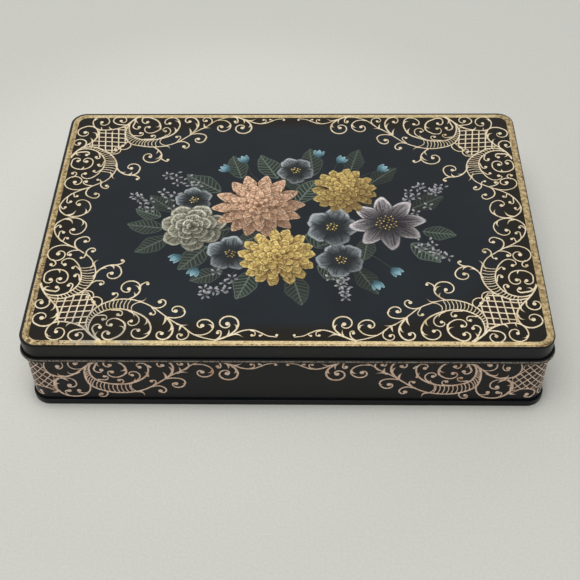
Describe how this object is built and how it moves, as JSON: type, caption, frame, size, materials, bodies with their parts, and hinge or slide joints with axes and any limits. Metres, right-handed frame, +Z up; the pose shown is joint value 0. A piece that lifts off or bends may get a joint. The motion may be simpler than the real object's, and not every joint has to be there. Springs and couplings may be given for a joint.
{
  "type": "candy tin",
  "caption": "Flat rectangular lithographed sweet tin with a slip-on lid, rolled hem and rim, and a seamed-on base.",
  "frame": {"origin": "centre of the tin's footprint, in the plane that it stands on", "axes": "+X along the length, +Y from the front to the back, +Z up through the lid"},
  "size_m": [0.2378, 0.1648, 0.042],
  "materials": {
    "lid_lacquer": "satin black lacquer on tinplate, gilt border band, scrollwork and a flower group, plain gold lacquer inside",
    "wall_lacquer": "satin black lacquer on tinplate with copper-gold scrollwork, plain gold lacquer inside",
    "base_lacquer": "satin black lacquer on tinplate"
  },
  "bodies": {
    "tin": {"body_wall": "wall_lacquer", "base_plate": "base_lacquer"},
    "lid": {"lid": "lid_lacquer"}
  },
  "joints": [
    {"name": "lid_lift", "type": "slide", "parent": "tin", "child": "lid", "axis": [0, 0, 1], "range_m": [0, 0.08]}
  ]
}
